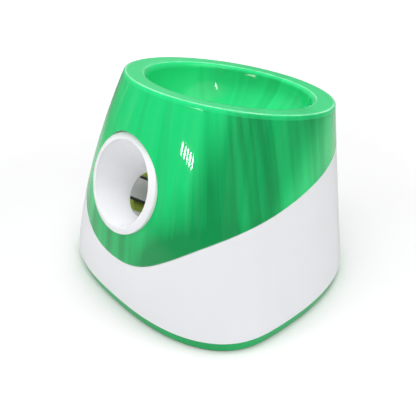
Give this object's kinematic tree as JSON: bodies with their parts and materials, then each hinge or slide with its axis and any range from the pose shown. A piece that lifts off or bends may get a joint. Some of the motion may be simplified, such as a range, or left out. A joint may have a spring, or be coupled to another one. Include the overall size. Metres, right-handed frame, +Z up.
{
  "type": "automatic dog ball launcher",
  "caption": "Automatic ball launcher for dogs: dished loading bowl, round front outlet, sprung striker cocked by a geared motor in a two-tone tapered housing",
  "frame": {"origin": "on the floor plane under the feet, in the middle of the base from side to side and from front to back", "axes": "+Z up, -Y the way the ball leaves, +X to the right seen from behind the outlet"},
  "size_m": [0.3202, 0.3082, 0.2526],
  "materials": {
    "green_abs": "moulded ABS, high gloss",
    "white_abs": "moulded ABS, high gloss",
    "olive_abs": "moulded ABS, satin",
    "barrel_white": "moulded ABS, satin",
    "frame_grey": "glass-filled plastic, matt",
    "acetal_white": "acetal, satin",
    "striker_grey": "nylon, satin",
    "pad_rubber": "soft rubber, matt",
    "foot_rubber": "rubber, matt",
    "spring_steel": "bright drawn wire",
    "zinc_steel": "zinc plated",
    "motor_steel": "plated can, satin",
    "gearbox_alloy": "die cast",
    "black_plastic": "matt",
    "board_green": "solder mask, satin",
    "lens_clear": "clear light pipe",
    "button_white": "satin"
  },
  "bodies": {
    "body": {"upper_shell": "green_abs", "lower_casing": "white_abs", "hopper_bowl": "green_abs", "base_tray": "green_abs", "outlet_funnel": "white_abs", "launch_barrel": "barrel_white", "guide_sleeve": "olive_abs", "striker_spring": "spring_steel", "spring_seat": "zinc_steel", "mechanism_frame": "frame_grey", "gear_axle": "zinc_steel", "motor_bridge": "zinc_steel", "gearhead": "gearbox_alloy", "drive_motor": "motor_steel", "lever_pin": "zinc_steel", "micro_switch": "black_plastic", "control_board": "board_green", "indicator_lenses": "lens_clear", "control_bezel": "green_abs", "dc_inlet": "black_plastic", "rubber_feet": "foot_rubber", "casing_screws": "zinc_steel", "frame_screws": "zinc_steel", "bridge_screws": "zinc_steel"},
    "striker": {"striker": "striker_grey", "striker_pad": "pad_rubber"},
    "gear": {"sector_gear": "acetal_white"},
    "pinion": {"drive_pinion": "zinc_steel"},
    "lever": {"ball_lever": "acetal_white"},
    "button": {"power_button": "button_white"}
  },
  "joints": [
    {"name": "striker_slide", "type": "slide", "parent": "body", "child": "striker", "axis": [0, 0.788, -0.6157], "range_m": [0, 0.05089], "deforming": ["striker_spring"]},
    {"name": "sector_turn", "type": "hinge", "parent": "body", "child": "gear", "pos_m": [0.0576, -0.00894, 0.05679], "axis": [0, -0.6157, -0.788], "range_deg": [0, 108]},
    {"name": "pinion_turn", "type": "hinge", "parent": "body", "child": "pinion", "pos_m": [0.09143, 0.00077, 0.04921], "axis": [0, 0.6157, 0.788], "range_deg": [0, 324]},
    {"name": "lever_tilt", "type": "hinge", "parent": "body", "child": "lever", "pos_m": [0, 0.00109, 0.1285], "axis": [1, 0, 0], "range_deg": [0, 20], "stiffness_Nm_per_rad": 0.02},
    {"name": "button_press", "type": "slide", "parent": "body", "child": "button", "axis": [0, -1, 0], "range_m": [0, 0.0015], "stiffness_N_per_m": 400}
  ],
  "couplings": [
    {"joint": "sector_turn", "follows": "striker_slide", "rad_per_m": 37.037},
    {"joint": "pinion_turn", "follows": "striker_slide", "rad_per_m": 111.11}
  ]
}
